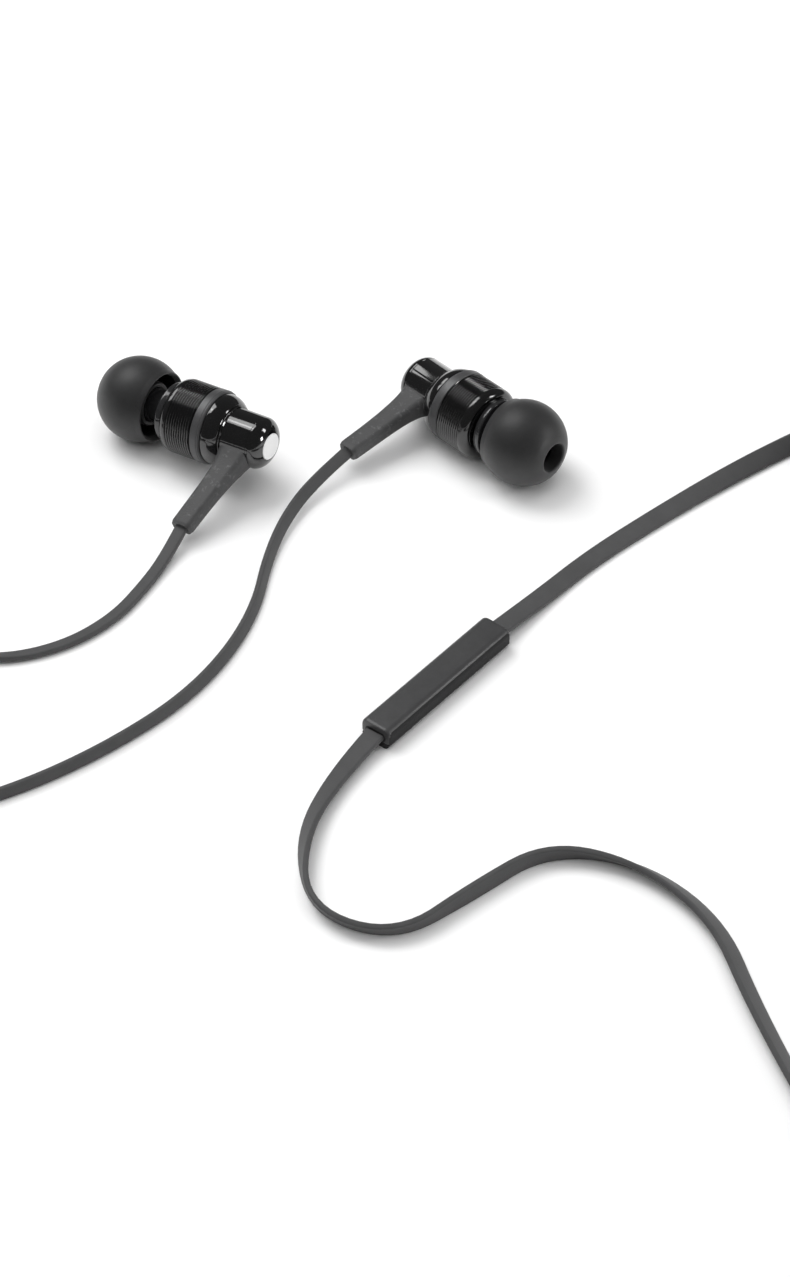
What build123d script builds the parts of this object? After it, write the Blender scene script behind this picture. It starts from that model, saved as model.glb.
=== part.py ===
"""Wired in-ear earphones with a flat cable, an in-line remote and a 3.5 mm plug.

Millimetres, +Z up. The two earbuds lie on the floor Z = 0, and the origin is under the middle of the
pair. Each earbud is drawn about its own axis: local Z runs through the barrel towards the ear tip,
local X runs out through the strain relief, and local Z = 0 is the front edge of the ribbed barrel.
"""

import math
import os

from build123d import *

os.makedirs("parts", exist_ok=True)

# ---- Driving dimensions, mm ------------------------------------------------------------------------
TIP_RADIUS = 6.15  # silicone ear tip, medium size
TIP_CENTRES = {"left": 7.85, "right": 7.1}  # how far each ear tip sits from the barrel's front edge
NOZZLE_LEANS = {"left": 1.0, "right": 6.0}  # degrees, away from the strain relief
NOZZLE_END = 10.2
NOZZLE_RADIUS = 2.45
TIP_BORE_RADIUS = 2.52
SOUND_HOLE_RADIUS = 2.1
BARREL_RADIUS = 5.4
BARREL_WALL = 0.7
RIB_PITCH = 0.4
RIB_DEPTH = 0.12
RIB_COUNT = 11
BAND_FRONT = -4.5
BAND_REAR = -6.1
CAP_REAR = -8.3
ARM_RADIUS = 3.75
ARM_WALL = 0.6
ARM_EDGE = -12.9  # where the arm's straight side ends and its rounded end begins
ARM_ROUND = 1.9
ARM_END = ARM_EDGE - ARM_ROUND
RELIEF_STATION = -10.6  # strain relief's centre along the barrel's axis
RELIEF_END = 16.6  # strain relief's free end, from the barrel's axis
RELIEF_BENDS = {"left": 0.7, "right": -0.3}  # how far each free end is pulled aside by its cord
BRANCH_WIDTH = 1.8
MAIN_WIDTH = 2.8
TIE_LIFT = 0.4  # a tie's band passes under a coil
LAYER_GAP = 0.1
POD_LENGTH = 25.5
POD_WIDTH = 4.8
POD_HEIGHT = 3.3
POD_SEAM = 0.95
POD_WALL = 0.55
PLUG_RADIUS = 1.75  # 3.5 mm four-pole plug
PLUG_PIN_LENGTH = 14.0
HOUSING_RADIUS = 2.9
FIT = 0.03  # gap between glued or snapped pieces


# ---- Helpers ---------------------------------------------------------------------------------------
def turned(*outline):
    """A turned piece from a closed outline of (radius, height). A pair of points is an arc's middle and end."""
    edges = []
    here = outline[0]
    for step in outline[1:] + outline[:1]:
        if isinstance(step[0], tuple):
            edges.append(ThreePointArc(here, *step))
            here = step[1]
        else:
            edges.append(Line(here, step))
            here = step
    return revolve(make_face(Plane.XZ * (Curve() + edges)), Axis.Z)


def ring(outer, inner, low, high):
    return turned((inner, low), (outer, low), (outer, high), (inner, high))


def disc(radius, low, high):
    return Pos(0, 0, low) * Cylinder(radius, high - low, align=(Align.CENTER, Align.CENTER, Align.MIN))


def block(length, width, height, centre, low):
    at = Pos(centre[0], centre[1], low)
    return at * Box(length, width, height, align=(Align.CENTER, Align.CENTER, Align.MIN))


def sphere_point(radius, height, lift=0.0):
    """A point on a sphere's outline at this height above the sphere's centre."""
    return math.sqrt(radius**2 - height**2), height + lift


# ---- Earbud pieces, in the earbud's own frame --------------------------------------------------------
def lean(side, shape):
    """Turns a piece from the barrel's axis to the nozzle's."""
    return shape.rotate(Axis.Y, -NOZZLE_LEANS[side])


def ear_tip(side):
    centre = TIP_CENTRES[side]
    skirt = TIP_RADIUS - 0.6
    rim_out = (5.12, centre - 3.75)
    rim_in = (4.75, centre - 3.7)
    shoulder = sphere_point(TIP_RADIUS, 4.9, centre)
    roof = sphere_point(skirt, 3.6, centre)
    return lean(
        side,
        turned(
            rim_out,
            ((TIP_RADIUS, centre - 0.15), shoulder),
            ((3.0, centre + 5.35), (SOUND_HOLE_RADIUS + 0.2, centre + 5.45)),
            (SOUND_HOLE_RADIUS, centre + 5.25),
            (SOUND_HOLE_RADIUS, centre + 3.3),
            (TIP_BORE_RADIUS, centre + 3.3),
            (TIP_BORE_RADIUS, centre - 2.6),
            (3.2, centre - 2.6),
            (3.3, centre + 2.9),
            roof,
            ((skirt - 0.02, centre + 0.1), rim_in),
        ),
    )


def nozzle(side):
    """Sound tube with a flange behind the barrel's front wall, a collar and a barb for the ear tip."""
    return lean(
        side,
        turned(
            (1.7, -0.85),
            (3.8, -0.85),
            (3.8, -0.25),
            (2.9, -0.25),
            (2.9, 3.2),
            (2.7, 3.4),
            (NOZZLE_RADIUS, 3.4),
            (NOZZLE_RADIUS, NOZZLE_END - 2.2),
            (2.2, NOZZLE_END - 2.0),
            (2.2, NOZZLE_END - 1.2),
            (NOZZLE_RADIUS, NOZZLE_END - 0.9),
            (2.3, NOZZLE_END),
            (1.7, NOZZLE_END),
        ),
    )


def nozzle_screen(side):
    return lean(side, disc(1.7 - FIT, NOZZLE_END - 0.6, NOZZLE_END - 0.45))


def barrel(side):
    """Ribbed tube with a rounded front shoulder and a front wall that the nozzle passes through."""
    inner = BARREL_RADIUS - BARREL_WALL
    ribs = []
    for rib in range(RIB_COUNT):
        z = -0.15 - rib * RIB_PITCH
        valley = BARREL_RADIUS - RIB_DEPTH
        ribs += [(BARREL_RADIUS, z), (valley, z - 0.06), (valley, z - 0.18), (BARREL_RADIUS, z - 0.24)]
    outline = [
        (inner, BAND_FRONT),
        (inner, 0.3),
        (2.0, 0.3),
        (2.0, 1.2),
        (4.2, 1.2),
        ((5.05, 0.85), (BARREL_RADIUS, 0.0)),
        *ribs,
        (BARREL_RADIUS, BAND_FRONT),
    ]
    return turned(*outline) - lean(side, disc(2.9 + FIT, -1.0, 3.0))


def trim_band():
    inner = BARREL_RADIUS - BARREL_WALL
    return turned(
        (inner, BAND_FRONT - FIT),
        (BARREL_RADIUS + 0.05, BAND_FRONT - FIT),
        (BARREL_RADIUS + 0.05, BAND_REAR + 0.2),
        (BARREL_RADIUS - 0.2, BAND_REAR),
        (inner, BAND_REAR),
    )


def rear_cap():
    """Rounded cap with a spigot that holds the trim band, open at the back into the arm."""
    spigot = BARREL_RADIUS - BARREL_WALL - FIT
    return turned(
        (4.25, -5.3),
        (spigot, -5.3),
        (spigot, BAND_REAR - FIT),
        (5.1, BAND_REAR - FIT),
        ((4.85, -7.6), (3.95, CAP_REAR)),
        (2.4, CAP_REAR),
        (2.4, CAP_REAR + 0.7),
        ((3.95, -7.3), (4.25, -6.4)),
    )


def arm(side):
    """Hollow cylinder behind the cap, with a collar at its root and a rounded end."""
    inner = ARM_RADIUS - ARM_WALL
    root = CAP_REAR - FIT
    corner = ARM_ROUND * math.sin(math.radians(45))
    centre = ARM_RADIUS - ARM_ROUND
    shell = turned(
        (2.0, root),
        (4.0, root),
        (4.0, root - 0.4),
        (ARM_RADIUS, root - 0.5),
        (ARM_RADIUS, ARM_EDGE),
        ((centre + corner, ARM_EDGE - corner), (centre + 0.3, ARM_END)),
        (2.0, ARM_END),
        (2.0, ARM_END + 0.5),
        (0.6, ARM_END + 0.5),
        (0.6, ARM_END + 1.1),
        (centre, ARM_END + 1.1),
        (inner, ARM_EDGE + 0.3),
        (inner, root - 0.6),
        (2.0, root - 0.6),
    )
    return shell - strain_relief(side)


def end_disc():
    edge = ARM_END + 0.5 - FIT
    return turned((0, edge), (2.0 - FIT, edge), (2.0 - FIT, ARM_END), (1.8, ARM_END - 0.1), (0, ARM_END - 0.1))


def strain_relief(side):
    """Tapered boot: wide at the arm, slim at its free end, which its cord pulls aside."""
    stations = (
        (2.4, 4.2, 3.0),
        (3.6, 4.5, 3.9),
        (5.2, 4.3, 3.5),
        (8.0, 3.7, 2.9),
        (11.5, 3.25, 2.5),
        (RELIEF_END, 3.1, 2.3),
    )
    sections = []
    for x, wide, thick in stations:
        aside = RELIEF_BENDS[side] * max(0.0, x - 5.2) / (RELIEF_END - 5.2)
        plane = Plane(origin=(x, 0, RELIEF_STATION + aside), x_dir=(0, 0, 1), z_dir=(1, 0, 0))
        sections.append(plane * RectangleRounded(wide, thick, 0.55))
    return loft(sections, ruled=True)


def driver_frame():
    outer = BARREL_RADIUS - BARREL_WALL - 0.1
    return turned((2.95, -5.0), (outer, -5.0), (outer, -1.4), (4.2, -1.4), (4.2, -4.4), (2.95, -4.4))


def diaphragm():
    return turned((0, -1.75), (1.9, -2.05), (4.05, -2.0), (4.05, -1.9), (1.95, -1.95), (0, -1.6))


def voice_coil():
    return ring(2.03, 1.85, -3.3, -2.05 - FIT)


def magnet():
    return disc(1.4, -4.6 + FIT, -3.0)


def top_plate():
    return disc(1.6, -3.0 + FIT, -2.5)


def yoke():
    return turned((0, -5.2), (2.92, -5.2), (2.92, -2.6), (2.3, -2.6), (2.3, -4.6), (0, -4.6))


def terminal_board():
    return block(5.2, 3.0, 0.4, (0, 0), -6.0)


SIDED_PIECES = (ear_tip, nozzle, nozzle_screen, barrel, arm, strain_relief)
LIKE_PIECES = (
    trim_band,
    rear_cap,
    end_disc,
    driver_frame,
    diaphragm,
    voice_coil,
    magnet,
    top_plate,
    yoke,
    terminal_board,
)


# ---- Where the earbuds lie ---------------------------------------------------------------------------
def earbud_plane(side, x, y, heading, pitch, relief):
    """The earbud's frame. It rests on its ear tip, so that sets its height."""
    turn, rise = math.radians(heading), math.radians(pitch)
    axis = Vector(math.cos(turn) * math.cos(rise), math.sin(turn) * math.cos(rise), math.sin(rise))
    across = (Vector(*relief) - axis * Vector(*relief).dot(axis)).normalized()
    tilt = math.radians(NOZZLE_LEANS[side])
    nozzle_axis = axis * math.cos(tilt) - across * math.sin(tilt)
    return Plane(origin=(x, y, TIP_RADIUS - TIP_CENTRES[side] * nozzle_axis.Z), x_dir=across, z_dir=axis)


EARBUDS = {
    "left": earbud_plane("left", -20.8, 3.7, 147.1, -4.4, (-0.519, -0.796, -0.311)),
    "right": earbud_plane("right", 21.5, 3.2, -47.0, 1.5, (-0.741, -0.657, -0.139)),
}


def relief_end(side):
    """Middle of a strain relief's free end, in the part's frame."""
    return tuple(EARBUDS[side].from_local_coords(Vector(RELIEF_END, 0, RELIEF_STATION + RELIEF_BENDS[side])))


# ---- Cords -------------------------------------------------------------------------------------------
BRANCH_FLOOR = BRANCH_WIDTH / 2
MAIN_FLOOR = MAIN_WIDTH / 2

LEFT_RUN = [
    relief_end("left"),
    (-22.7, -19.6, 1.3),
    (-25.5, -25.2, 0.95),
    (-29.2, -31.4, BRANCH_FLOOR),
    (-35.4, -36.8, BRANCH_FLOOR),
    (-43.6, -39.6, BRANCH_FLOOR),
    (-51.0, -38.2, BRANCH_FLOOR),
    (-56.8, -35.2, BRANCH_FLOOR + TIE_LIFT),
]
LEFT_TAIL = [
    (-51.4, -30.9, 3.0),
    (-57.2, -37.2, 3.3),
    (-61.2, -41.4, 3.1),
    (-66.6, -46.2, 1.5),
    (-71.0, -53.0, BRANCH_FLOOR),
    (-72.4, -61.0, BRANCH_FLOOR),
    (-71.0, -69.0, BRANCH_FLOOR),
    (-69.0, -74.4, 1.1),
    (-68.5, -78.2, 1.5),
]
RIGHT_RUN = [
    relief_end("right"),
    (-2.6, -5.0, 2.0),
    (-6.6, -12.6, 1.4),
    (-8.8, -20.6, 1.0),
    (-10.0, -29.6, BRANCH_FLOOR),
    (-13.6, -39.0, BRANCH_FLOOR),
    (-19.4, -47.8, BRANCH_FLOOR),
    (-27.4, -55.4, BRANCH_FLOOR),
    (-36.2, -61.8, BRANCH_FLOOR),
    (-45.0, -66.4, BRANCH_FLOOR),
    (-51.6, -68.9, BRANCH_FLOOR + TIE_LIFT),
]
RIGHT_TAIL = [
    (-49.2, -65.2, 3.0),
    (-54.0, -70.6, 3.3),
    (-59.6, -73.8, 2.6),
    (-64.2, -75.6, 1.6),
    (-66.5, -78.2, 1.5),
]
MAIN_RUN = [
    (-67.5, -90.2, 1.7),
    (-67.6, -101.0, MAIN_FLOOR),
    (-65.2, -116.0, MAIN_FLOOR),
    (-58.2, -131.0, MAIN_FLOOR),
    (-44.0, -145.0, MAIN_FLOOR),
    (-20.0, -149.6, MAIN_FLOOR),
    (8.0, -148.2, MAIN_FLOOR),
    (34.0, -149.6, MAIN_FLOOR),
    (54.6, -148.0, MAIN_FLOOR),
    (65.4, -135.8, MAIN_FLOOR),
    (58.4, -118.0, MAIN_FLOOR),
    (52.6, -101.0, MAIN_FLOOR),
    (49.0, -86.8, MAIN_FLOOR),
    (39.6, -77.2, MAIN_FLOOR),
    (28.0, -74.8, MAIN_FLOOR),
    (18.6, -82.4, MAIN_FLOOR),
    (8.8, -90.4, MAIN_FLOOR),
    (-2.0, -85.6, MAIN_FLOOR),
    (-3.2, -73.0, MAIN_FLOOR),
    (1.1, -61.8, 1.6),
    (6.2, -54.8, 1.8),
]
PLUG_RUN = [
    (22.5, -35.0, 1.8),
    (28.6, -27.6, 1.6),
    (35.8, -19.4, MAIN_FLOOR),
    (45.4, -10.8, MAIN_FLOOR),
    (57.0, -1.4, MAIN_FLOOR),
    (67.4, 5.6, MAIN_FLOOR),
    (75.0, 9.9, MAIN_FLOOR + TIE_LIFT),
]
PLUG_TAIL = [
    (113.2, -13.2, 5.0),
    (113.3, -19.0, 3.7),
    (112.6, -25.0, HOUSING_RADIUS),
    (111.8, -30.6, HOUSING_RADIUS),
]

# Coil: centre and radius to the middle of its band of turns.
LEFT_COIL = (-61.5, -23.0, 11.2)
RIGHT_COIL = (-58.0, -57.6, 9.9)
PLUG_COIL = (92.3, -5.2, 20.5)
BRANCH_COIL_BAND = 3.2
PLUG_COIL_BAND = 4.4


def corner_radii(route):
    """The largest arc that fits each corner and leaves a little straight run between two arcs."""
    radii = []
    for before, corner, after in zip(route, route[1:], route[2:]):
        into, out = Vector(*corner) - Vector(*before), Vector(*after) - Vector(*corner)
        turn = math.radians(into.get_angle(out))
        radii.append(0.45 * min(into.length, out.length) / math.tan(turn / 2))
    return radii


def tube(name, route, width):
    """A round tube along straight runs joined by tangent arcs."""
    radii = corner_radii(route)
    path = FilletPolyline(*route, radius=radii)
    start = Plane(origin=path @ 0, z_dir=path % 0)
    solid = sweep(start * Circle(width / 2), path=path)
    share = solid.volume / (math.pi * width**2 / 4 * path.length)
    lowest = solid.bounding_box().min.Z
    print(f"{name}: {path.length:.1f} mm, tightest arc {min(radii):.1f}, volume share {share:.3f}, low {lowest:.2f}")
    return solid


def coil(centre_x, centre_y, radius, band, width):
    """The outer shape of two layers of turns."""
    height = 2 * width + LAYER_GAP
    return Pos(centre_x, centre_y, 0) * ring(radius + band / 2, radius - band / 2, TIE_LIFT, TIE_LIFT + height)


def tie(centre_x, centre_y, radius, band, width, angle):
    """A flat strap closed round the turns of a coil."""
    inside_long = band + 0.3
    inside_high = 2 * width + LAYER_GAP + 0.25
    outer = Box(inside_long + 0.6, 3.0, inside_high + 0.6)
    strap = outer - Box(inside_long, 3.2, inside_high)
    middle = TIE_LIFT + (2 * width + LAYER_GAP) / 2
    return Pos(centre_x, centre_y, middle + 0.03) * (Rot(0, 0, angle) * (Pos(radius, 0, 0) * strap))


# ---- Splitter, remote and plug -------------------------------------------------------------------------
def splitter():
    """Moulded Y: two branches go in at the top, the main cord comes out at the bottom."""
    stations = ((-78.2, 4.6, 2.8), (-81.0, 5.2, 3.2), (-86.5, 4.6, 3.2), (-90.2, 4.0, 3.1))
    sections = []
    for y, wide, thick in stations:
        plane = Plane(origin=(-67.5, y, 1.7), x_dir=(1, 0, 0), z_dir=(0, -1, 0))
        sections.append(plane * RectangleRounded(wide, thick, 1.2))
    return loft(sections, ruled=True)


POD = Plane(origin=(14.35, -44.9, 0), x_dir=(0.636, 0.772, 0), z_dir=(0, 0, 1))


def pod_outline(width, radius):
    """A rounded bar along the pod's own X, POD_HEIGHT tall."""
    end = Plane(origin=(-POD_LENGTH / 2, 0, POD_HEIGHT / 2), x_dir=(0, 1, 0), z_dir=(1, 0, 0))
    return extrude(end * RectangleRounded(width, POD_HEIGHT, radius), POD_LENGTH)


def pod_cavity():
    width, height = POD_WIDTH - 2 * POD_WALL, POD_HEIGHT - 2 * POD_WALL
    return block(POD_LENGTH - 3.0, width, height, (0, 0), POD_WALL)


def pod_top():
    upper = block(POD_LENGTH + 1, POD_WIDTH + 1, POD_HEIGHT, (0, 0), POD_SEAM)
    return pod_outline(POD_WIDTH, 1.0) & upper - pod_cavity()


def button_hole():
    return block(8.6, 2.5, POD_WALL + 0.2, (0, 0), -0.1)


def pod_bottom():
    lower = block(POD_LENGTH + 1, POD_WIDTH + 1, POD_SEAM - 0.08, (0, 0), 0)
    return pod_outline(POD_WIDTH - 0.3, 0.9) & lower - pod_cavity() - button_hole()


def remote_button():
    """Key with a flange that keeps it behind the lower shell's wall."""
    key = block(8.2, 2.1, POD_WALL, (0, 0), 0.08)
    flange = block(9.4, 2.9, 0.15, (0, 0), POD_WALL + 0.03)
    return key + flange


def circuit_board():
    return block(19.0, 3.4, 0.35, (0, 0), 1.5)


def key_switch():
    return block(2.6, 2.2, 0.5, (0, 0), 1.0)


def microphone():
    return block(2.4, 1.9, 0.75, (7.6, 0), 1.85)


PLUG_AXIS = Plane(origin=PLUG_TAIL[-1], x_dir=(0, 0, 1), z_dir=(-0.146, -0.989, 0))
RELIEF_LENGTH = 8.0
HOUSING_LENGTH = 12.0
PIN_START = RELIEF_LENGTH + HOUSING_LENGTH


def plug_relief():
    long = RELIEF_LENGTH
    return turned((0, 0), (1.9, 0), (2.3, long - 1.2), (2.6, long - 1.0), (2.6, long), (0, long))


def plug_housing():
    start, end = RELIEF_LENGTH + FIT, PIN_START
    return turned(
        (0, start),
        (HOUSING_RADIUS - 0.3, start),
        (HOUSING_RADIUS, start + 0.3),
        (HOUSING_RADIUS, end - 0.5),
        (HOUSING_RADIUS - 0.5, end),
        (0, end),
    )


def pole(start, end):
    """One ring contact of the plug, bored for the core that carries the tip."""
    return ring(PLUG_RADIUS, 0.9, PIN_START + start, PIN_START + end)


def plug_sleeve():
    return pole(FIT, 3.6)


def plug_ring_two():
    return pole(4.2, 6.5)


def plug_ring_one():
    return pole(7.1, 9.4)


def plug_tip():
    """The tip contact and the thin core behind it."""
    front = PIN_START + PLUG_PIN_LENGTH
    return turned(
        (0, PIN_START + FIT),
        (0.6, PIN_START + FIT),
        (0.6, PIN_START + 10.0),
        (PLUG_RADIUS, PIN_START + 10.0),
        (PLUG_RADIUS, PIN_START + 10.5),
        (1.15, PIN_START + 11.2),
        (1.15, PIN_START + 11.7),
        (1.6, PIN_START + 12.4),
        (0.5, front),
        (0, front),
    )


def plug_insulators():
    """Three plastic rings between the contacts, joined by a sleeve on the core."""
    start = PIN_START
    return turned(
        (0.6, start + FIT),
        (0.9, start + FIT),
        (0.9, start + 3.6),
        (PLUG_RADIUS, start + 3.6),
        (PLUG_RADIUS, start + 4.2),
        (0.9, start + 4.2),
        (0.9, start + 6.5),
        (PLUG_RADIUS, start + 6.5),
        (PLUG_RADIUS, start + 7.1),
        (0.9, start + 7.1),
        (0.9, start + 9.4),
        (PLUG_RADIUS, start + 9.4),
        (PLUG_RADIUS, start + 10.0),
        (0.6, start + 10.0),
    )


# ---- Assembly ----------------------------------------------------------------------------------------
def build():
    nodes = {}
    for side, plane in EARBUDS.items():
        for piece in SIDED_PIECES:
            nodes[f"{side}_{piece.__name__}"] = plane.location * piece(side)
        for piece in LIKE_PIECES:
            nodes[f"{side}_{piece.__name__}"] = plane.location * piece()
    for piece in (pod_top, pod_bottom, remote_button, circuit_board, key_switch, microphone):
        nodes[piece.__name__] = POD.location * piece()
    for piece in (plug_relief, plug_housing, plug_sleeve, plug_ring_two, plug_ring_one, plug_tip, plug_insulators):
        nodes[piece.__name__] = PLUG_AXIS.location * piece()
    nodes["splitter"] = splitter()
    nodes["left_branch_run"] = tube("left run", LEFT_RUN, BRANCH_WIDTH)
    nodes["left_branch_coil"] = coil(*LEFT_COIL, BRANCH_COIL_BAND, BRANCH_WIDTH)
    nodes["left_branch_tail"] = tube("left tail", LEFT_TAIL, BRANCH_WIDTH)
    nodes["right_branch_run"] = tube("right run", RIGHT_RUN, BRANCH_WIDTH)
    nodes["right_branch_coil"] = coil(*RIGHT_COIL, BRANCH_COIL_BAND, BRANCH_WIDTH)
    nodes["right_branch_tail"] = tube("right tail", RIGHT_TAIL, BRANCH_WIDTH)
    nodes["main_cord"] = tube("main", MAIN_RUN, MAIN_WIDTH)
    nodes["plug_cord_run"] = tube("plug run", PLUG_RUN, MAIN_WIDTH)
    nodes["plug_cord_coil"] = coil(*PLUG_COIL, PLUG_COIL_BAND, MAIN_WIDTH)
    nodes["plug_cord_tail"] = tube("plug tail", PLUG_TAIL, MAIN_WIDTH)
    nodes["coil_ties"] = Compound(
        [
            tie(*LEFT_COIL, BRANCH_COIL_BAND, BRANCH_WIDTH, 100).solid(),
            tie(*RIGHT_COIL, BRANCH_COIL_BAND, BRANCH_WIDTH, 170).solid(),
            tie(*PLUG_COIL, PLUG_COIL_BAND, MAIN_WIDTH, 60).solid(),
        ]
    )
    return nodes


for name, shape in build().items():
    export_step(shape, f"parts/{name}.step")
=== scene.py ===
import math

import bmesh
import bpy
from mathutils import Matrix, Vector


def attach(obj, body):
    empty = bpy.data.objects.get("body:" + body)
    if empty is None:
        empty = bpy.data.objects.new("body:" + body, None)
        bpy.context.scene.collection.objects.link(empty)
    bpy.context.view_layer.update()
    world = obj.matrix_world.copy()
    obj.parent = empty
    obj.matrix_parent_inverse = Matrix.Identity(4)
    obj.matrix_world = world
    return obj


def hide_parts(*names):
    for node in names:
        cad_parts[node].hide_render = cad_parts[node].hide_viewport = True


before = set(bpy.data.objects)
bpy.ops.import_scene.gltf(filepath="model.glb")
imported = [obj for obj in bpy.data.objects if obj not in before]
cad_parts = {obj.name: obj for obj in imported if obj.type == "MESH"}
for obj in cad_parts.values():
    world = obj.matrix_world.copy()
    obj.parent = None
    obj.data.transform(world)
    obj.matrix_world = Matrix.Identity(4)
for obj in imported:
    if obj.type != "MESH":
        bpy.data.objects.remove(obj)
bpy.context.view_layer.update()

MM = 0.001
STEPS_ROUND = 144  # steps round a turned piece
AXIS_GAP = 0.002  # least radius of a ring of points, so that one on the axis stays a ring
BUMP_DEPTH = 0.00005  # height of the fine noise on a surface, in metres


# ---- Materials -------------------------------------------------------------------------------------
def material(name, color, roughness, metallic=0.0, **sockets):
    """A new Principled material. Sockets are named with underscores for spaces."""
    mat = bpy.data.materials.new(name)
    mat.use_nodes = True
    shader = mat.node_tree.nodes["Principled BSDF"]
    shader.inputs["Base Color"].default_value = (*color, 1)
    shader.inputs["Roughness"].default_value = roughness
    shader.inputs["Metallic"].default_value = metallic
    for socket, value in sockets.items():
        shader.inputs[socket.replace("_", " ")].default_value = value
    return mat


def worn(mat, grain, bump, rough, tint=0.12, stretch=(1, 1, 1)):
    """Adds fine noise in bump, roughness and colour to a material."""
    tree = mat.node_tree
    shader = tree.nodes["Principled BSDF"]
    where = tree.nodes.new("ShaderNodeTexCoord")
    mapping = tree.nodes.new("ShaderNodeMapping")
    mapping.inputs["Scale"].default_value = stretch
    tree.links.new(where.outputs["Object"], mapping.inputs["Vector"])
    fine = tree.nodes.new("ShaderNodeTexNoise")
    fine.inputs["Scale"].default_value = grain
    fine.inputs["Detail"].default_value = 6
    coarse = tree.nodes.new("ShaderNodeTexNoise")
    coarse.inputs["Scale"].default_value = grain / 9
    coarse.inputs["Detail"].default_value = 4
    for noise in (fine, coarse):
        tree.links.new(mapping.outputs["Vector"], noise.inputs["Vector"])
    polish = tree.nodes.new("ShaderNodeMapRange")
    polish.inputs["To Min"].default_value, polish.inputs["To Max"].default_value = rough
    tree.links.new(coarse.outputs["Fac"], polish.inputs["Value"])
    tree.links.new(polish.outputs["Result"], shader.inputs["Roughness"])
    lift = tree.nodes.new("ShaderNodeBump")
    lift.inputs["Strength"].default_value = bump
    lift.inputs["Distance"].default_value = BUMP_DEPTH
    tree.links.new(fine.outputs["Fac"], lift.inputs["Height"])
    tree.links.new(lift.outputs["Normal"], shader.inputs["Normal"])
    base = list(shader.inputs["Base Color"].default_value)[:3]
    mix = tree.nodes.new("ShaderNodeMix")
    mix.data_type = "RGBA"
    mix.inputs["A"].default_value = (*[c * (1 - tint) for c in base], 1)
    mix.inputs["B"].default_value = (*[min(1, c * (1 + tint) + tint * 0.01) for c in base], 1)
    tree.links.new(coarse.outputs["Fac"], mix.inputs["Factor"])
    tree.links.new(mix.outputs["Result"], shader.inputs["Base Color"])
    return mat


def scuffed(mat, scale, color):
    """Adds sparse light scuffs over a worn material."""
    tree = mat.node_tree
    shader = tree.nodes["Principled BSDF"]
    where = tree.nodes.new("ShaderNodeTexCoord")
    marks = tree.nodes.new("ShaderNodeTexNoise")
    marks.inputs["Scale"].default_value = scale
    marks.inputs["Detail"].default_value = 8
    marks.inputs["Roughness"].default_value = 0.7
    tree.links.new(where.outputs["Object"], marks.inputs["Vector"])
    limit = tree.nodes.new("ShaderNodeMapRange")
    limit.inputs["From Min"].default_value = 0.56
    limit.inputs["From Max"].default_value = 0.72
    tree.links.new(marks.outputs["Fac"], limit.inputs["Value"])
    mix = tree.nodes.new("ShaderNodeMix")
    mix.data_type = "RGBA"
    tree.links.new(shader.inputs["Base Color"].links[0].from_socket, mix.inputs["A"])
    mix.inputs["B"].default_value = (*color, 1)
    tree.links.new(limit.outputs["Result"], mix.inputs["Factor"])
    tree.links.new(mix.outputs["Result"], shader.inputs["Base Color"])
    return mat


silicone = worn(
    material("silicone", (0.0155, 0.0155, 0.016), 0.5, Sheen_Weight=0.1, Sheen_Roughness=0.5),
    grain=3200, bump=0.25, rough=(0.42, 0.56),
)
gloss_black = worn(
    material("gloss_black", (0.003, 0.003, 0.0032), 0.07, IOR=1.7, Coat_Weight=0.3, Coat_Roughness=0.03),
    grain=5000, bump=0.03, rough=(0.05, 0.12),
)
collar_gloss = worn(
    material("collar_gloss", (0.02, 0.02, 0.021), 0.12, Coat_Weight=0.5),
    grain=4000, bump=0.03, rough=(0.08, 0.16),
)
ribbed_black = worn(
    material(
        "ribbed_black", (0.004, 0.004, 0.0042), 0.12,
        IOR=1.65, Coat_Weight=0.2, Coat_Roughness=0.05,
    ),
    grain=6000, bump=0.06, rough=(0.09, 0.16),
)
band_satin = worn(
    material("band_satin", (0.075, 0.075, 0.077), 0.42, 0.35),
    grain=7000, bump=0.15, rough=(0.32, 0.46), tint=0.1, stretch=(1, 1, 6),
)
disc_white = worn(
    material("disc_white", (0.96, 0.96, 0.96), 0.45),
    grain=5000, bump=0.1, rough=(0.4, 0.55), tint=0.02,
)
boot_rubber = worn(
    material("boot_rubber", (0.042, 0.042, 0.043), 0.6, Sheen_Weight=0.06, Sheen_Roughness=0.6),
    grain=4200, bump=0.7, rough=(0.46, 0.7), tint=0.38,
)
scuffed(boot_rubber, 1100, (0.115, 0.115, 0.116))
cord_rubber = worn(
    material(
        "cord_rubber", (0.062, 0.062, 0.063), 0.55,
        Sheen_Weight=0.05, Sheen_Roughness=0.6, Specular_IOR_Level=0.2,
    ),
    grain=3800, bump=0.35, rough=(0.46, 0.64), tint=0.16,
)
pod_satin = worn(
    material("pod_satin", (0.04, 0.04, 0.041), 0.4, Coat_Weight=0.08),
    grain=6500, bump=0.4, rough=(0.34, 0.46), tint=0.1,
)
# painted shade: a darker, less shiny copy of the pod's plastic, used on its side faces
pod_side_painted_shade = worn(
    material("pod_side_painted_shade", (0.016, 0.016, 0.0165), 0.55, Specular_IOR_Level=0.15),
    grain=6500, bump=0.3, rough=(0.5, 0.62), tint=0.1,
)
pod_lower = worn(
    material("pod_lower", (0.016, 0.016, 0.0165), 0.46, Specular_IOR_Level=0.3),
    grain=6500, bump=0.4, rough=(0.4, 0.55), tint=0.1,
)
key_satin = worn(
    material("key_satin", (0.035, 0.035, 0.036), 0.4),
    grain=6500, bump=0.3, rough=(0.36, 0.48),
)
# painted shade: near-black for the shade inside the slots where the cables leave the pod
slot_painted_shade = worn(
    material("slot_painted_shade", (0.008, 0.008, 0.008), 0.7),
    grain=5000, bump=0.2, rough=(0.6, 0.8),
)
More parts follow.
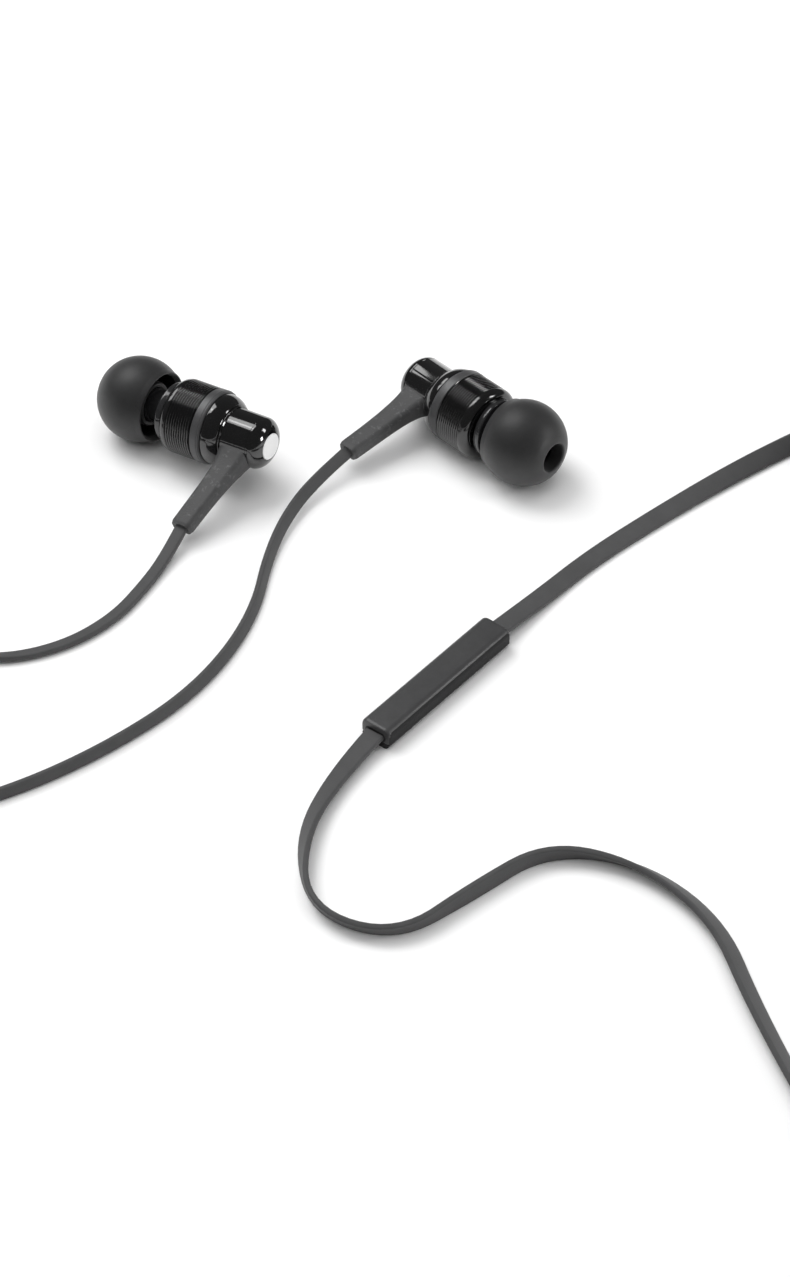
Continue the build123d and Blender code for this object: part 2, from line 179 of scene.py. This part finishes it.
plug_satin = worn(
    material("plug_satin", (0.04, 0.04, 0.042), 0.38, Coat_Weight=0.1),
    grain=5500, bump=0.3, rough=(0.32, 0.46),
)
contact = worn(
    material("contact", (0.66, 0.63, 0.58), 0.2, 1.0),
    grain=6000, bump=0.08, rough=(0.14, 0.28), tint=0.06, stretch=(1, 1, 5),
)
insulator = worn(
    material("insulator", (0.012, 0.012, 0.012), 0.25),
    grain=5000, bump=0.08, rough=(0.2, 0.32),
)
strap = worn(
    material("strap", (0.02, 0.02, 0.021), 0.75, Sheen_Weight=0.4),
    grain=9000, bump=0.8, rough=(0.65, 0.85), tint=0.25,
)
screen = worn(
    material("screen", (0.3, 0.3, 0.31), 0.35, 1.0),
    grain=9000, bump=0.9, rough=(0.3, 0.45),
)
steel = worn(
    material("steel", (0.45, 0.45, 0.46), 0.32, 1.0),
    grain=5000, bump=0.15, rough=(0.26, 0.42),
)
magnet = worn(
    material("magnet", (0.55, 0.55, 0.56), 0.22, 1.0),
    grain=5000, bump=0.08, rough=(0.16, 0.28),
)
copper = worn(
    material("copper", (0.6, 0.28, 0.14), 0.3, 1.0),
    grain=8000, bump=0.5, rough=(0.24, 0.36), tint=0.1, stretch=(1, 1, 8),
)
film = worn(
    material("film", (0.55, 0.53, 0.48), 0.3),
    grain=4000, bump=0.2, rough=(0.25, 0.38),
)
frame_black = worn(
    material("frame_black", (0.03, 0.03, 0.03), 0.5),
    grain=5000, bump=0.3, rough=(0.45, 0.6),
)
board = worn(
    material("board", (0.02, 0.12, 0.05), 0.35),
    grain=5000, bump=0.2, rough=(0.3, 0.42),
)

CAD_FINISH = {
    "nozzle_screen": screen,
    "driver_frame": frame_black,
    "diaphragm": film,
    "voice_coil": copper,
    "magnet": magnet,
    "top_plate": steel,
    "yoke": steel,
    "terminal_board": board,
}


def paint(obj, mat):
    obj.data.materials.clear()
    obj.data.materials.append(mat)


for side in ("left", "right"):
    for piece, finish in CAD_FINISH.items():
        paint(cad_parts[f"{side}_{piece}"], finish)
for node, finish in (
    ("circuit_board", board),
    ("key_switch", steel),
    ("microphone", steel),
    ("remote_button", key_satin),
    ("pod_bottom", pod_lower),
    ("coil_ties", strap),
):
    paint(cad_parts[node], finish)


# ---- Meshes ----------------------------------------------------------------------------------------
def solid(name, rings, closed_ends, mat, place=None, sharp=32.0):
    """Joins rings of points, all of one length, into one smooth surface. Millimetres in place's frame."""
    count = len(rings[0])
    points = [Vector(p) * MM for ring in rings for p in ring]
    if place is not None:
        points = [place @ p for p in points]
    faces = []
    last = len(rings) - 1
    for i in range(last + (0 if closed_ends else 1)):
        near, far = i * count, (i + 1) % len(rings) * count
        for k in range(count):
            n = (k + 1) % count
            faces.append((near + k, near + n, far + n, far + k))
    if closed_ends:
        faces.append(tuple(reversed(range(count))))
        faces.append(tuple(range(last * count, (last + 1) * count)))
    mesh = bpy.data.meshes.new(name)
    mesh.from_pydata(points, [], faces)
    mesh.update()
    work = bmesh.new()
    work.from_mesh(mesh)
    bmesh.ops.recalc_face_normals(work, faces=work.faces)
    work.to_mesh(mesh)
    work.free()
    mesh.shade_smooth()
    mesh.set_sharp_from_angle(angle=math.radians(sharp))
    obj = bpy.data.objects.new(name, mesh)
    bpy.context.scene.collection.objects.link(obj)
    paint(obj, mat)
    return obj


def turned(name, outline, mat, place, sharp=32.0):
    """A turned piece from a closed outline of (radius, height)."""
    angles = [2 * math.pi * k / STEPS_ROUND for k in range(STEPS_ROUND)]
    rings = []
    for r, z in outline:
        r = max(r, AXIS_GAP)
        rings.append([(r * math.cos(a), r * math.sin(a), z) for a in angles])
    return solid(name, rings, False, mat, place, sharp)


def arc(r, z, radius_r, radius_z, begin, end, steps):
    """Points of an elliptical arc in an outline, from one angle to another in degrees."""
    angles = [math.radians(begin + (end - begin) * k / steps) for k in range(steps + 1)]
    return [(r + radius_r * math.cos(a), z + radius_z * math.sin(a)) for a in angles]


def rounded(wide, tall, corner, steps=6):
    """A rounded rectangle's points, anticlockwise from the right-hand side."""
    points = []
    for cx, cy, begin in ((1, 1, 0), (-1, 1, 90), (-1, -1, 180), (1, -1, 270)):
        for k in range(steps + 1):
            a = math.radians(begin + 90 * k / steps)
            x = cx * (wide / 2 - corner) + corner * math.cos(a)
            y = cy * (tall / 2 - corner) + corner * math.sin(a)
            points.append((x, y))
    return points


# ---- Earbuds ---------------------------------------------------------------------------------------
TIP_RADIUS = 6.15
TIP_CENTRES = {"left": 7.85, "right": 7.1}
LEANS = {"left": 1.0, "right": 6.0}
RELIEF_STATION = -10.6
RELIEF_END = 16.6
RELIEF_BENDS = {"left": 0.7, "right": -0.3}
RELIEF_ROOT = 3.4  # where the flare starts to narrow
BEND_START = 5.2
RIB_COUNT = 11
RIB_PITCH = 0.4
RIBS_START = -0.12  # first rib, behind the barrel's front shoulder
CORD_SEAT = 0.6  # how far a cord goes into its strain relief


def earbud_place(side, x, y, heading, pitch, relief):
    """The earbud's frame: its Z runs to the ear tip and its X through the strain relief."""
    turn, rise = math.radians(heading), math.radians(pitch)
    axis = Vector((math.cos(turn) * math.cos(rise), math.sin(turn) * math.cos(rise), math.sin(rise)))
    across = Vector(relief)
    across = (across - axis * across.dot(axis)).normalized()
    tilt = math.radians(LEANS[side])
    nozzle_axis = axis * math.cos(tilt) - across * math.sin(tilt)
    place = Matrix((across, axis.cross(across), axis)).transposed().to_4x4()
    place.translation = Vector((x, y, TIP_RADIUS - TIP_CENTRES[side] * nozzle_axis.z)) * MM
    return place


EARBUDS = {
    "left": earbud_place("left", -20.8, 3.7, 147.1, -4.4, (-0.519, -0.796, -0.311)),
    "right": earbud_place("right", 21.5, 3.2, -47.0, 1.5, (-0.741, -0.657, -0.139)),
}


def relief_end(side):
    """Just inside the middle of a strain relief's free end."""
    end = Vector((RELIEF_END - CORD_SEAT, 0, RELIEF_STATION + RELIEF_BENDS[side]))
    return tuple((EARBUDS[side] @ (end * MM)) / MM)


def leaned(side, place):
    """The nozzle's own frame, which leans a little from the barrel's axis."""
    return place @ Matrix.Rotation(math.radians(-LEANS[side]), 4, "Y")


def ear_tip(side, place):
    """Round silicone skirt, hollow behind, on a sleeve with the sound hole."""
    c = TIP_CENTRES[side]
    outline = [
        *arc(5.0, c - 3.62, 0.17, 0.17, 250, 330, 5),
        *arc(0, c, TIP_RADIUS, TIP_RADIUS, -30, 53, 40),
        (3.3, c + 5.14),
        (2.9, c + 5.31),
        *arc(2.36, c + 5.17, 0.26, 0.26, 65, 185, 8),
        (2.1, c + 3.4),
        (2.52, c + 3.3),
        (2.52, c - 2.4),
        (2.7, c - 2.6),
        (3.1, c - 2.6),
        (3.25, c - 2.3),
        (3.3, c + 2.4),
        *arc(3.9, c + 2.6, 0.6, 0.8, 180, 60, 6),
        *arc(0, c, TIP_RADIUS - 0.6, TIP_RADIUS - 0.6, 34, -34, 24),
    ]
    return turned(f"{side}_ear_tip_skin", outline, silicone, leaned(side, place), 50)


def nozzle(side, place):
    """Tube with a collar at the barrel and a groove near its free end."""
    outline = [
        (1.7, -0.85),
        (2.9, -0.85),
        (2.9, 1.3),
        (4.15, 1.3),
        *arc(4.0, 2.0, 0.3, 0.3, -20, 90, 6),
        (2.9, 2.45),
        (2.75, 3.3),
        (2.45, 3.45),
        (2.45, 8.0),
        (2.2, 8.2),
        (2.2, 9.0),
        (2.45, 9.3),
        (2.3, 10.2),
        (1.73, 10.2),
    ]
    return turned(f"{side}_nozzle_skin", outline, collar_gloss, leaned(side, place))


def barrel(side, place):
    """Barrel with a rounded front shoulder and a ring of fine ribs."""
    ribs = []
    for rib in range(RIB_COUNT):
        z = RIBS_START - rib * RIB_PITCH
        ribs += [(5.40, z), (5.40, z - 0.06), (5.35, z - 0.13)]
        ribs += [(5.22, z - 0.18), (5.22, z - 0.24), (5.35, z - 0.31)]
    outline = [
        (4.7, -4.5),
        (4.7, 0.4),
        (3.1, 0.6),
        (3.1, 1.25),
        (4.25, 1.25),
        *arc(4.1, 0.0, 1.3, 1.22, 72, 0, 12),
        *ribs,
        (5.40, -4.46),
        (5.30, -4.5),
    ]
    return turned(f"{side}_barrel_skin", outline, ribbed_black, place, 40)


def trim_band(side, place):
    """Satin band with a fine step at its rear edge."""
    outline = [
        (4.75, -4.55),
        (5.32, -4.55),
        (5.42, -4.63),
        (5.43, -5.62),
        (5.40, -5.68),
        (5.36, -5.72),
        (5.36, -5.86),
        (5.18, -6.06),
        (4.75, -6.06),
    ]
    return turned(f"{side}_trim_band_skin", outline, band_satin, place, 25)


def rear_cap(side, place):
    """Rounded cap that closes the barrel and carries the arm."""
    outline = [
        (4.6, -5.9),
        (5.0, -6.08),
        *arc(2.6, -6.2, 2.5, 2.6, 0, -54, 18),
        (3.95, -8.3),
        (2.4, -8.3),
        (2.4, -7.6),
        (4.2, -6.4),
    ]
    return turned(f"{side}_rear_cap_skin", outline, gloss_black, place, 50)


def arm(side, place):
    """Tube with a root collar, a fine groove and a rounded end with a seat for the disc."""
    outline = [
        (2.1, -8.32),
        (3.95, -8.32),
        *arc(3.93, -8.47, 0.12, 0.12, 80, -80, 6),
        (3.78, -8.66),
        (3.75, -8.75),
        (3.75, -12.78),
        (3.735, -12.84),
        (3.70, -12.87),
        (3.735, -12.90),
        *arc(0, -12.9, 3.75, 2.17, 0, -57.5, 24),
        (2.0, -14.7),
        (2.0, -14.3),
        (0.6, -14.3),
        (0.6, -13.7),
        (3.1, -12.6),
        (3.15, -8.9),
        (2.1, -8.9),
    ]
    return turned(f"{side}_arm_skin", outline, gloss_black, place, 35)


def end_disc(side, place):
    outline = [(0, -14.35), (1.93, -14.35), (1.93, -14.70), (1.86, -14.78), (0, -14.80)]
    return turned(f"{side}_end_disc_skin", outline, disc_white, place)


def strain_relief(side, place):
    """Boot with a flared root, flat faces with rounded edges and a rounded free end."""
    rings = []
    stations = [2.6 + 0.3 * k for k in range(46)] + [16.25, 16.35, RELIEF_END]
    for x in stations:
        past_root = max(x - RELIEF_ROOT, 0)
        end = 0.90 + 0.10 * math.sqrt(max(0.0, 1 - max(0.0, (x - 16.0) / 0.4) ** 2))
        front = 1.55 + 0.85 * math.exp(-past_root / 1.8)
        rear = 1.55 + 1.05 * math.exp(-past_root / 4.6)
        thick = (2.25 + 1.45 * math.exp(-past_root / 2.8)) * end
        bend = RELIEF_BENDS[side] * max(0, x - BEND_START) / (RELIEF_END - BEND_START)
        middle = RELIEF_STATION + (front - rear) / 2 + bend
        section = rounded((front + rear) * end, thick, 0.32 * thick, 7)
        rings.append([(x, b, middle + a) for a, b in section])
    return solid(f"{side}_strain_relief_skin", rings, True, boot_rubber, place, 60)


BODY_SKINS = (
    (nozzle, "nozzle", "gloss_black_shell"),
    (barrel, "barrel", "gloss_black_shell"),
    (trim_band, "trim_band", "band_metal"),
    (rear_cap, "rear_cap", "gloss_black_shell"),
    (arm, "arm", "gloss_black_shell"),
    (end_disc, "end_disc", "disc_white"),
    (strain_relief, "strain_relief", "relief_rubber"),
)
for side, place in EARBUDS.items():
    tip = ear_tip(side, place)
    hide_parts(f"{side}_ear_tip")
    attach(tip, f"{side}_tip")
    for build, node, named in BODY_SKINS:
        skin = build(side, place)
        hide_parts(f"{side}_{node}")
        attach(skin, "headset")


# ---- Remote ----------------------------------------------------------------------------------------
POD_LENGTH = 25.5
POD_WIDTH = 4.8
POD_HEIGHT = 3.3
POD_SEAM = 0.95
SEAM_GROOVE = 0.16
HOLLOW_HALF = 1.6  # half width of the hollow over the key
SHADED_SIDE_TURN = 0.85  # a face turned further aside than this takes the darker copy of the plastic, painted shade on the sides


def frame_at(origin, x_dir, z_dir):
    """A frame from its origin in millimetres and its X and Z directions."""
    x, z = Vector(x_dir).normalized(), Vector(z_dir).normalized()
    place = Matrix((x, z.cross(x), z)).transposed().to_4x4()
    place.translation = Vector(origin) * MM
    return place


POD = frame_at((14.35, -44.9, 0), (0.636, 0.772, 0), (0, 0, 1))


def pod_top():
    """Upper shell: rounded top edges and ends, a groove at the seam, a hollow over the key and painted
    shade on its sides.
    """
    rings = []
    half = POD_LENGTH / 2
    ends = (
        (half, 0.30, 0.01),
        (half - 0.06, 0.12, 0.01),
        (half - 0.25, 0.02, 0.01),
        (half - 0.5, 0, 0.01),
        (5.3, 0, 0.01),
        (5.2, 0, 0.5),
    )
    stations = [(-x, shrink, hollow) for x, shrink, hollow in ends] + list(reversed(ends))
    for x, shrink, hollow in stations:
        wide, top = POD_WIDTH - 2 * shrink, POD_HEIGHT - shrink
        inset = SEAM_GROOVE - wide / 2
        ring = [(x, -HOLLOW_HALF, POD_SEAM + hollow), (x, -HOLLOW_HALF, POD_SEAM)]
        ring += [(x, inset, POD_SEAM), (x, inset, POD_SEAM + 0.1)]
        ring += [(x, -wide / 2, POD_SEAM + 0.2), (x, -wide / 2, top - 1.1)]
        for k in range(11):
            a = math.radians(9 * k)
            ring.append((x, -(wide / 2 - 1.0) - math.cos(a), top - 1.0 + math.sin(a)))
        ring += [(x, -r[1], r[2]) for r in reversed(ring)]
        rings.append(ring)
    shell = solid("pod_top_skin", rings, True, pod_satin, POD, 30)
    # faces turned aside take the darker copy: painted shade on the pod's sides
    shell.data.materials.append(pod_side_painted_shade)
    for face in shell.data.polygons:
        across = POD.to_3x3().inverted() @ face.normal
        face.material_index = int(abs(across.y) > SHADED_SIDE_TURN)
    return shell


pod = pod_top()
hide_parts("pod_top")
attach(pod, "headset")
MOUTH = rounded(3.4, 1.4, 0.65)
MOUTH_HEIGHT = 1.75
# a black sheet on each end: painted shade where the slot's opening is
for end, tag in ((-1, "a"), (1, "b")):
    x = end * (POD_LENGTH / 2 + 0.03)
    rings = [[(at, a, MOUTH_HEIGHT + b) for a, b in MOUTH] for at in (x - 0.3 * end, x)]
    mouth = solid(f"pod_mouth_{tag}", rings, True, slot_painted_shade, POD)
    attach(mouth, "headset")


# ---- Splitter and plug -----------------------------------------------------------------------------
SPLITTER_AT = (-67.5, -78.2, 1.7)  # where the branches enter it
SPLITTER_LENGTH = 12.0


def splitter():
    """Rubber block with soft ends that bulges and then narrows towards the main cable, along -Y."""
    x, y, z = SPLITTER_AT
    rings = []
    for k in range(25):
        t = k / 24
        wide = 4.6 + 0.6 * math.sin(math.pi * min(1, t * 1.6)) - 0.7 * t
        thick = 2.7 + 0.5 * math.sin(math.pi * min(0.5, t * 1.3))
        ease = 0.88 + 0.12 * math.sqrt(max(0, 1 - (abs(2 * t - 1)) ** 10))
        section = rounded(wide * ease, thick * ease, 1.1)
        rings.append([(x + a, y - SPLITTER_LENGTH * t, z + b) for a, b in section])
    return solid("splitter_skin", rings, True, boot_rubber, None, 60)


branch_joint = splitter()
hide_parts("splitter")
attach(branch_joint, "headset")

PLUG = frame_at((111.8, -30.6, 2.9), (0, 0, 1), (-0.146, -0.989, 0))
PIN = 20.0  # where the pin starts, from the relief's free end


def pole(begin, end):
    """A contact ring's outline, from and to these distances along the pin."""
    low, high = PIN + begin, PIN + end
    return [(0.9, low), (1.72, low), (1.75, low + 0.03), (1.75, high - 0.03), (1.72, high), (0.9, high)]


def relief_ribs():
    """Five collars along the plug's strain relief, each a little wider than the last."""
    ribs = []
    for k in range(5):
        z, grow = 1.3 + 1.2 * k, 0.06 * k
        ribs += [(1.95 + grow, z), (1.95 + grow, z + 0.5), (1.72 + grow, z + 0.6), (1.72 + grow, z + 1.0)]
    return ribs


RELIEF_OUTLINE = [
    (0, 0),
    (1.8, 0),
    (1.9, 0.1),
    (1.92, 1.2),
    *relief_ribs(),
    (2.3, 7.2),
    (2.6, 7.4),
    (2.6, 8.0),
    (0, 8.0),
]
HOUSING_OUTLINE = [
    (0, 8.03),
    (2.6, 8.03),
    *arc(2.6, 8.33, 0.3, 0.3, -90, 0, 5),
    *arc(2.5, 19.6, 0.4, 0.4, 0, 90, 6),
    (0, 20.0),
]
TIP_OUTLINE = [
    (0, PIN + 0.03),
    (0.6, PIN + 0.03),
    (0.6, PIN + 10.0),
    (1.75, PIN + 10.0),
    (1.75, PIN + 10.5),
    (1.15, PIN + 11.2),
    (1.15, PIN + 11.6),
    *arc(0.9, PIN + 12.7, 0.72, 1.1, -25, 80, 10),
    (0, PIN + 13.95),
]
PLUG_PIECES = (
    ("plug_relief", "relief_rubber", boot_rubber, RELIEF_OUTLINE),
    ("plug_housing", "plug_plastic", plug_satin, HOUSING_OUTLINE),
    ("plug_sleeve", "contact_metal", contact, pole(0.03, 3.6)),
    ("plug_ring_two", "contact_metal", contact, pole(4.2, 6.5)),
    ("plug_ring_one", "contact_metal", contact, pole(7.1, 9.4)),
    ("plug_tip", "contact_metal", contact, TIP_OUTLINE),
)
for node, named, mat, outline in PLUG_PIECES:
    skin = turned(node + "_skin", outline, mat, PLUG)
    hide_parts(node)
    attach(skin, "headset")
paint(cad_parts["plug_insulators"], insulator)


# ---- Cords -----------------------------------------------------------------------------------------
BRANCH_WIDTH, BRANCH_THICK = 1.8, 0.85
MAIN_WIDTH, MAIN_THICK = 2.8, 0.8
BRANCH_FLOOR = BRANCH_WIDTH / 2
MAIN_FLOOR = MAIN_WIDTH / 2
TIE_LIFT = 0.4
TWIST_SCALE = 100  # degrees of twist to one unit of the sampled channel
LEFT_COIL = (-61.5, -23.0, 11.2)
RIGHT_COIL = (-58.0, -57.6, 9.9)
PLUG_COIL = (92.3, -5.2, 20.5)


def coil_turns(coil, width, half_band, first, turns, twist=90):
    """Route of a two-layer coil: clockwise, inwards on the floor and then outwards on top.

    half_band is half the radius that the turns spread over, and first the angle where they begin.
    """
    points = []
    steps = round(16 * turns)
    for k in range(steps + 1):
        t = k / steps
        angle = math.radians(first - 360 * turns * t)
        radius = coil[2] + half_band * abs(2 * t - 1) * 2 - half_band
        climb = min(1, max(0, (t - 0.5) * turns / 0.16 + 0.5))
        z = TIE_LIFT + width / 2 + (width + 0.1) * climb * climb * (3 - 2 * climb)
        x, y = coil[0] + radius * math.cos(angle), coil[1] + radius * math.sin(angle)
        points.append((x, y, z, twist))
    return points


def sampled(points):
    """Points along a quadratic NURBS line with these control points."""
    line = bpy.data.curves.new("line", "CURVE")
    line.dimensions = "3D"
    line.resolution_u = 8
    spline = line.splines.new("NURBS")
    spline.points.add(len(points) - 1)
    for point, place in zip(spline.points, points):
        point.co = (*place, 1)
    spline.order_u = 3
    spline.use_endpoint_u = True
    holder = bpy.data.objects.new("line", line)
    mesh = bpy.data.meshes.new_from_object(holder)
    found = [v.co.copy() for v in mesh.vertices]
    bpy.data.objects.remove(holder)
    bpy.data.curves.remove(line)
    bpy.data.meshes.remove(mesh)
    return found


def ribbon(name, route, width, thick, replaced):
    """A flat cable along a route of (x, y, z, twist). It drops to the floor as far as its twist lets it."""
    line = sampled([tuple(c * MM for c in p[:3]) for p in route])
    channel = []
    last = len(route) - 1
    for k, (_, _, _, twist) in enumerate(route):
        a = math.radians(twist)
        low = abs(math.sin(a)) * width / 2 + abs(math.cos(a)) * thick / 2
        drop = 0 if k in (0, last) else (width / 2 - low) * MM
        channel.append((twist / TWIST_SCALE, drop, 0))
    settled = sampled(channel)
    centre = [p - Vector((0, 0, s.y)) for p, s in zip(line, settled)]
    rings = []
    section = rounded(width, thick, thick * 0.32, 4)
    for k, at in enumerate(centre):
        tangent = (centre[min(k + 1, len(centre) - 1)] - centre[max(k - 1, 0)]).normalized()
        flat = Vector((-tangent.y, tangent.x, 0)).normalized()
        up = tangent.cross(flat)
        a = math.radians(settled[k].x * TWIST_SCALE)
        across = flat * math.cos(a) + up * math.sin(a)
        over = up * math.cos(a) - flat * math.sin(a)
        rings.append([at / MM + across * p + over * q for p, q in section])
    cable = solid(name, rings, True, cord_rubber, None, 50)
    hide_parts(*replaced)
    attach(cable, "headset")
    return cable


LEFT_ROUTE = [
    (*relief_end("left"), 0),
    (-22.7, -19.6, 1.3, 4),
    (-25.5, -25.2, 0.95, 8),
    (-29.2, -31.4, BRANCH_FLOOR, 10),
    (-35.4, -36.8, BRANCH_FLOOR, 10),
    (-43.6, -39.6, BRANCH_FLOOR, 14),
    (-51.0, -38.2, BRANCH_FLOOR, 60),
    (-56.8, -35.2, BRANCH_FLOOR + TIE_LIFT, 90),
    *coil_turns(LEFT_COIL, BRANCH_WIDTH, 0.9, -100, 2.78),
    (-51.4, -30.9, 3.0, 90),
    (-57.2, -37.2, 3.3, 90),
    (-61.2, -41.4, 3.1, 90),
    (-66.6, -46.2, 1.5, 60),
    (-71.0, -53.0, BRANCH_FLOOR, 30),
    (-72.4, -61.0, BRANCH_FLOOR, 10),
    (-71.0, -69.0, BRANCH_FLOOR, 0),
    (-69.0, -74.4, 1.1, 0),
    (-68.5, -78.2, 1.5, 0),
]
RIGHT_ROUTE = [
    (*relief_end("right"), -20),
    (-2.6, -5.0, 2.0, -52),
    (-6.6, -12.6, 1.4, -62),
    (-8.8, -20.6, 1.0, -64),
    (-10.0, -29.6, BRANCH_FLOOR, -64),
    (-13.6, -39.0, BRANCH_FLOOR, -66),
    (-19.4, -47.8, BRANCH_FLOOR, -70),
    (-27.4, -55.4, BRANCH_FLOOR, -74),
    (-36.2, -61.8, BRANCH_FLOOR, -76),
    (-45.0, -66.4, BRANCH_FLOOR, -80),
    (-51.6, -68.9, BRANCH_FLOOR + TIE_LIFT, -90),
    *coil_turns(RIGHT_COIL, BRANCH_WIDTH, 0.9, -85, 2.84, -90),
    (-49.2, -65.2, 3.0, -90),
    (-54.0, -70.6, 3.3, -80),
    (-59.6, -73.8, 2.6, -50),
    (-64.2, -75.6, 1.6, -20),
    (-66.5, -78.2, 1.5, 0),
]
MAIN_ROUTE = [
    (-67.5, -90.2, 1.7, 0),
    (-67.6, -101.0, MAIN_FLOOR, 0),
    (-65.2, -116.0, MAIN_FLOOR, 0),
    (-58.2, -131.0, MAIN_FLOOR, 10),
    (-44.0, -145.0, MAIN_FLOOR, 20),
    (-20.0, -149.6, MAIN_FLOOR, 20),
    (8.0, -148.2, MAIN_FLOOR, 20),
    (34.0, -149.6, MAIN_FLOOR, 25),
    (54.6, -148.0, MAIN_FLOOR, 35),
    (65.4, -135.8, MAIN_FLOOR, 40),
    (58.4, -118.0, MAIN_FLOOR, 44),
    (52.6, -101.0, MAIN_FLOOR, 40),
    (49.0, -86.8, MAIN_FLOOR, 35),
    (39.6, -77.2, MAIN_FLOOR, 46),
    (28.0, -74.8, MAIN_FLOOR, 80),
    (18.6, -82.4, MAIN_FLOOR, 97),
    (8.8, -90.4, MAIN_FLOOR, 62),
    (-2.0, -85.6, MAIN_FLOOR, 62),
    (-3.2, -73.0, MAIN_FLOOR, 128),
    (1.1, -61.8, 1.6, 162),
    (6.2, -54.8, 1.8, 180),
]
PLUG_ROUTE = [
    (22.5, -35.0, 1.8, 0),
    (28.6, -27.6, 1.6, 4),
    (35.8, -19.4, MAIN_FLOOR, 6),
    (45.4, -10.8, MAIN_FLOOR, 10),
    (57.0, -1.4, MAIN_FLOOR, 25),
    (67.4, 5.6, MAIN_FLOOR, 60),
    (75.0, 9.9, MAIN_FLOOR + TIE_LIFT, 90),
    *coil_turns(PLUG_COIL, MAIN_WIDTH, 1.6, 118, 3.36),
    (113.2, -13.2, 5.0, 90),
    (113.3, -19.0, 3.7, 90),
    (112.6, -25.0, 2.9, 90),
    (111.8, -30.6, 2.9, 90),
]
LEFT_NODES = ("left_branch_run", "left_branch_coil", "left_branch_tail")
RIGHT_NODES = ("right_branch_run", "right_branch_coil", "right_branch_tail")
PLUG_NODES = ("plug_cord_run", "plug_cord_coil", "plug_cord_tail")
ribbon("left_branch", LEFT_ROUTE, BRANCH_WIDTH, BRANCH_THICK, LEFT_NODES)
ribbon("right_branch", RIGHT_ROUTE, BRANCH_WIDTH, BRANCH_THICK, RIGHT_NODES)
ribbon("main_cable", MAIN_ROUTE, MAIN_WIDTH, MAIN_THICK, ("main_cord",))
ribbon("plug_cable", PLUG_ROUTE, MAIN_WIDTH, MAIN_THICK, PLUG_NODES)


# ---- Stage -----------------------------------------------------------------------------------------
FLOOR_HALF = 6
LAMP_TARGET = (0, -0.03, 0)
EYE = (0.0088, -0.4120, 0.3579)
LOOK_AT = (0.0088, -0.0348, 0)
VIEW_ANGLE = 18.793  # degrees, top to bottom
WORLD_STRENGTH = 0.10
floor_mesh = bpy.data.meshes.new("floor")
corners = [(x * FLOOR_HALF, y * FLOOR_HALF, 0) for x, y in ((-1, -1), (1, -1), (1, 1), (-1, 1))]
floor_mesh.from_pydata(corners, [], [(0, 1, 2, 3)])
floor = bpy.data.objects.new("floor", floor_mesh)
bpy.context.scene.collection.objects.link(floor)
paint(floor, material("floor", (0.93, 0.93, 0.93), 0.6))

world = bpy.context.scene.world or bpy.data.worlds.new("world")
bpy.context.scene.world = world
world.use_nodes = True
world.node_tree.nodes["Background"].inputs["Color"].default_value = (1, 1, 1, 1)
world.node_tree.nodes["Background"].inputs["Strength"].default_value = WORLD_STRENGTH


def softbox(name, place, wide, tall, power):
    """A rectangular lamp that faces the earphones."""
    light = bpy.data.lights.new(name, "AREA")
    light.shape = "RECTANGLE"
    light.size = wide
    light.size_y = tall
    light.energy = power
    lamp = bpy.data.objects.new(name, light)
    lamp.location = place
    lamp.rotation_euler = (Vector(LAMP_TARGET) - Vector(place)).to_track_quat("-Z", "Y").to_euler()
    bpy.context.scene.collection.objects.link(lamp)
    return lamp


lamps = [
    softbox("key_near", (-0.47, 0.22, 0.70), 0.22, 0.60, 1.7),
    softbox("key_far", (-0.29, 0.38, 0.74), 0.30, 0.60, 2.2),
    softbox("window", (0.80, -0.37, 0.19), 0.12, 0.16, 1.6),
    softbox("side", (0.90, -0.02, 0.46), 0.15, 0.30, 1.5),
    softbox("sky", (-0.30, 0.10, 1.50), 3.00, 3.00, 37.0),
]
lamps[-1].visible_glossy = False  # the sky lights the floor but makes no highlights

eye = bpy.data.cameras.new("camera")
eye.sensor_fit = "VERTICAL"
eye.angle = math.radians(VIEW_ANGLE)
camera = bpy.data.objects.new("camera", eye)
camera.location = EYE
camera.rotation_euler = (Vector(LOOK_AT) - Vector(EYE)).to_track_quat("-Z", "Y").to_euler()
bpy.context.scene.collection.objects.link(camera)
bpy.context.scene.camera = camera
bpy.context.scene.view_settings.view_transform = "Standard"
